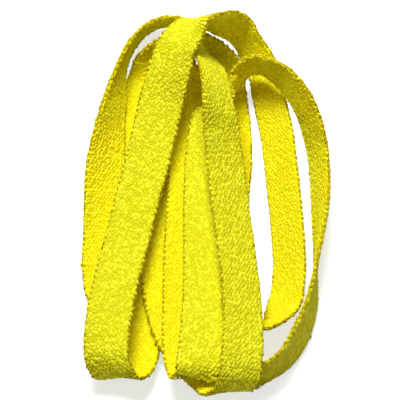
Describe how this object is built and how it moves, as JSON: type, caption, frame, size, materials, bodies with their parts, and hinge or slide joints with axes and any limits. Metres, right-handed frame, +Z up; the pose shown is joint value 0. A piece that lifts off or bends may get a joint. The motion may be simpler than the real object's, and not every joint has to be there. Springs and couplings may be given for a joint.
{
  "type": "flat braided lace",
  "caption": "Soft flat braided lace laid up in a loose flat bundle, with both tipped ends tucked underneath.",
  "frame": {"origin": "bottom centre of the bundle's box, on the surface it rests on", "axes": "+Z up from the surface; the bundle's long way runs along Y, with its high tops towards +Y"},
  "size_m": [0.0568, 0.0952, 0.0226],
  "materials": {
    "yarn": "soft braided polyester yarn, matte with a slight sheen",
    "film": "thin clear film wrapped over the yarn"
  },
  "bodies": {
    "root": {"lace_end_a_pinched": "yarn", "lace_end_a_gather": "yarn", "left_loop_rise": "yarn", "left_loop_top": "yarn", "middle_floor_run": "yarn", "right_inner_turn": "yarn", "right_inner_run": "yarn", "top_climb": "yarn", "front_left_run": "yarn", "front_left_turn": "yarn", "left_floor_run": "yarn", "second_top": "yarn", "front_right_run": "yarn", "front_right_turn": "yarn", "under_left_run": "yarn", "inner_top": "yarn", "inner_run": "yarn", "inner_turn": "yarn", "middle_run": "yarn", "right_loop_top": "yarn", "right_loop_run": "yarn", "lace_end_b_gather": "yarn", "lace_end_b_pinched": "yarn", "tip_sleeve_a": "film", "tip_sleeve_b": "film"}
  },
  "joints": []
}
